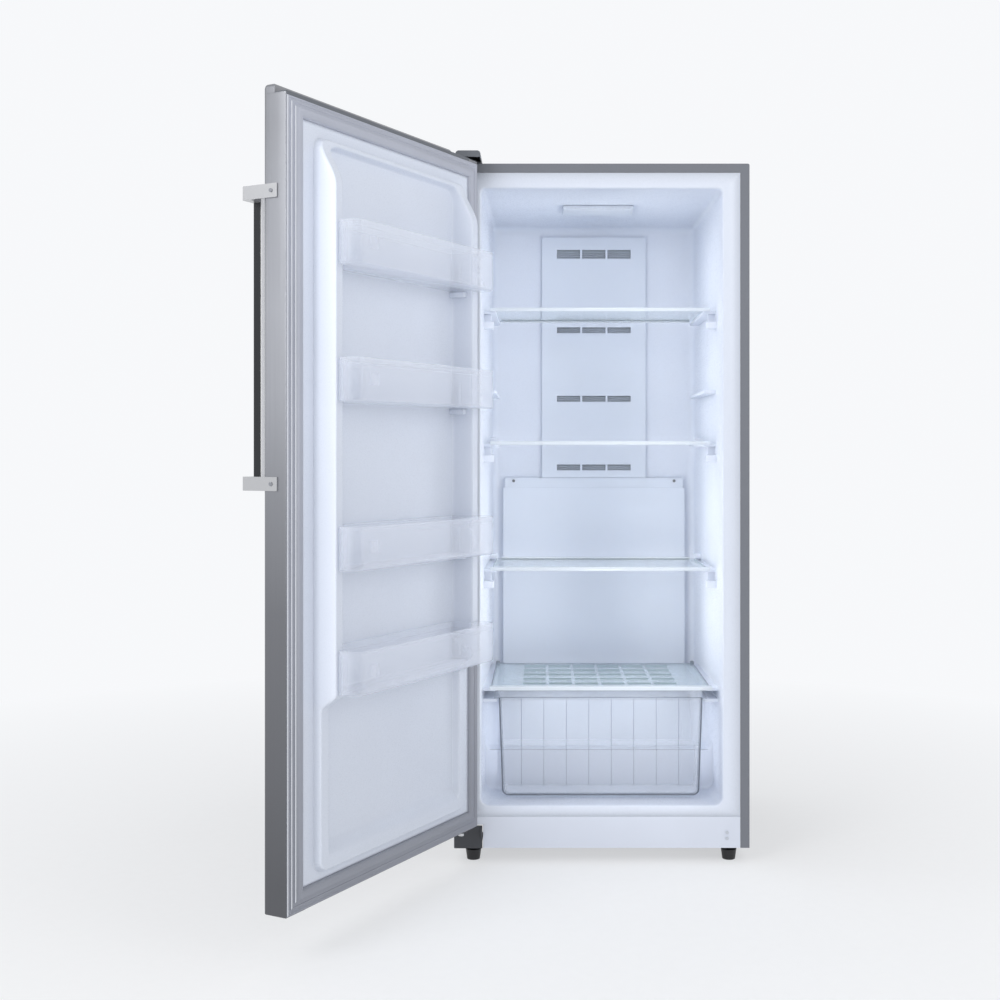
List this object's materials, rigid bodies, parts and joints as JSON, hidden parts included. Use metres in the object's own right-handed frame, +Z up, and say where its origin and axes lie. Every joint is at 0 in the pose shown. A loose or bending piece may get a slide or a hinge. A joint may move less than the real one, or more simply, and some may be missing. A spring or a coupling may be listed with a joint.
{
  "type": "single door refrigerator",
  "caption": "Tall free-standing refrigerator with one full-height hinged door, pull-out glass shelves, a vegetable drawer, lift-off door bins and a side bar handle.",
  "frame": {"origin": "centre of the front left levelling foot's pad, on the floor", "axes": "+Z up; -Y out of the cabinet's open front towards the viewer; +X to the viewer's right"},
  "size_m": [1.079, 1.3206, 1.699],
  "materials": {
    "cabinet_steel": "dark grey satin lacquer",
    "zinc_steel": "zinc coated sheet",
    "liner_plastic": "white moulded plastic",
    "foam": "rigid insulating foam",
    "base_steel": "dark lacquered sheet",
    "compressor_black": "black enamel",
    "soft_rubber": "matt rubber",
    "coil_metal": "dark coated tube and sheet",
    "fan_plastic": "moulded plastic",
    "copper": "bare copper tube",
    "grey_plastic": "moulded plastic",
    "hinge_steel": "dark lacquered steel",
    "bright_steel": "plated steel",
    "foot_plastic": "black moulded plastic",
    "roller_plastic": "hard moulded plastic",
    "evaporator_metal": "bare aluminium",
    "lamp_plastic": "frosted clear plastic",
    "shelf_glass": "clear toughened glass",
    "trim_plastic": "bright white plastic",
    "cover_plastic": "tinted clear plastic",
    "clear_plastic": "clear moulded plastic",
    "door_steel": "brushed stainless sheet",
    "cap_plastic": "dark grey moulded plastic",
    "gasket_rubber": "soft grey seal",
    "bush_plastic": "low friction plastic",
    "handle_steel": "satin steel",
    "display_glass": "gloss black glass"
  },
  "bodies": {
    "cabinet": {"cabinet_shell": "cabinet_steel", "rear_panel": "zinc_steel", "bottom_plate": "zinc_steel", "inner_liner": "liner_plastic", "insulation_foam": "foam", "kick_panel": "liner_plastic", "machine_base": "zinc_steel", "compressor": "compressor_black", "compressor_mounts": "soft_rubber", "condenser_coil": "coil_metal", "condenser_fan_frame": "fan_plastic", "drip_pan": "grey_plastic", "refrigerant_tubes": "copper", "control_box": "grey_plastic", "cord_gland": "soft_rubber", "machine_cover": "base_steel", "bottom_hinge_bracket": "hinge_steel", "top_hinge_bracket": "hinge_steel", "hinge_pins": "bright_steel", "top_hinge_cover": "cap_plastic", "hinge_screws": "bright_steel", "foot_bracket": "hinge_steel", "roller_brackets": "zinc_steel", "roller_axles": "bright_steel", "duct_panel": "liner_plastic", "evaporator_cover": "liner_plastic", "panel_screws": "bright_steel", "evaporator": "evaporator_metal", "evaporator_fan_frame": "grey_plastic", "defrost_heater": "coil_metal", "lamp_lens": "lamp_plastic"},
    "door": {"door_skin": "door_steel", "door_end_caps": "cap_plastic", "door_liner": "liner_plastic", "door_foam": "foam", "door_gasket": "gasket_rubber", "door_hinge_bushes": "bush_plastic", "handle_bar": "handle_steel", "handle_brackets": "handle_steel", "handle_screws": "bright_steel", "display_window": "display_glass"},
    "bin_1": {"door_bin_1": "clear_plastic"},
    "bin_2": {"door_bin_2": "clear_plastic"},
    "bin_3": {"door_bin_3": "clear_plastic"},
    "bin_4": {"door_bin_4": "clear_plastic"},
    "shelf_1": {"shelf_glass_1": "shelf_glass", "shelf_trim_1": "trim_plastic"},
    "shelf_2": {"shelf_glass_2": "shelf_glass", "shelf_trim_2": "trim_plastic"},
    "shelf_3": {"shelf_glass_3": "shelf_glass", "shelf_trim_3": "trim_plastic"},
    "cover_shelf": {"drawer_cover": "cover_plastic", "drawer_cover_trim": "trim_plastic"},
    "drawer": {"crisper_drawer": "clear_plastic"},
    "foot_left": {"front_foot_left": "foot_plastic"},
    "foot_right": {"front_foot_right": "foot_plastic"},
    "roller_left": {"rear_roller_left": "roller_plastic"},
    "roller_right": {"rear_roller_right": "roller_plastic"},
    "evaporator_fan": {"evaporator_fan_blade": "grey_plastic"},
    "condenser_fan": {"condenser_fan_blade": "grey_plastic"}
  },
  "joints": [
    {"name": "door_swing", "type": "hinge", "parent": "cabinet", "child": "door", "pos_m": [-0.025, -0.08, 0.9], "axis": [0, 0, -1], "range_deg": [-118, 17]},
    {"name": "shelf_1_slide", "type": "slide", "parent": "cabinet", "child": "shelf_1", "axis": [0, -1, 0], "range_m": [0, 0.2]},
    {"name": "shelf_2_slide", "type": "slide", "parent": "cabinet", "child": "shelf_2", "axis": [0, -1, 0], "range_m": [0, 0.2]},
    {"name": "shelf_3_slide", "type": "slide", "parent": "cabinet", "child": "shelf_3", "axis": [0, -1, 0], "range_m": [0, 0.2]},
    {"name": "cover_shelf_slide", "type": "slide", "parent": "cabinet", "child": "cover_shelf", "axis": [0, -1, 0], "range_m": [0, 0.2]},
    {"name": "drawer_slide", "type": "slide", "parent": "cabinet", "child": "drawer", "axis": [0, -1, 0], "range_m": [0, 0.26]},
    {"name": "bin_1_lift", "type": "slide", "parent": "door", "child": "bin_1", "axis": [0, 0, 1], "range_m": [0, 0.03]},
    {"name": "bin_2_lift", "type": "slide", "parent": "door", "child": "bin_2", "axis": [0, 0, 1], "range_m": [0, 0.03]},
    {"name": "bin_3_lift", "type": "slide", "parent": "door", "child": "bin_3", "axis": [0, 0, 1], "range_m": [0, 0.03]},
    {"name": "bin_4_lift", "type": "slide", "parent": "door", "child": "bin_4", "axis": [0, 0, 1], "range_m": [0, 0.03]},
    {"name": "foot_left_turn", "type": "hinge", "parent": "cabinet", "child": "foot_left", "pos_m": [0, 0, 0.03], "axis": [0, 0, 1], "continuous": true},
    {"name": "foot_right_turn", "type": "hinge", "parent": "cabinet", "child": "foot_right", "pos_m": [0.62, 0, 0.03], "axis": [0, 0, 1], "continuous": true},
    {"name": "roller_left_spin", "type": "hinge", "parent": "cabinet", "child": "roller_left", "pos_m": [0.01, 0.562, 0.02], "axis": [1, 0, 0], "continuous": true},
    {"name": "roller_right_spin", "type": "hinge", "parent": "cabinet", "child": "roller_right", "pos_m": [0.61, 0.562, 0.02], "axis": [1, 0, 0], "continuous": true},
    {"name": "evaporator_fan_spin", "type": "hinge", "parent": "cabinet", "child": "evaporator_fan", "pos_m": [0.31, 0.479, 0.775], "axis": [0, 1, 0], "continuous": true},
    {"name": "condenser_fan_spin", "type": "hinge", "parent": "cabinet", "child": "condenser_fan", "pos_m": [0.264, 0.342, 0.12], "axis": [1, 0, 0], "continuous": true}
  ]
}
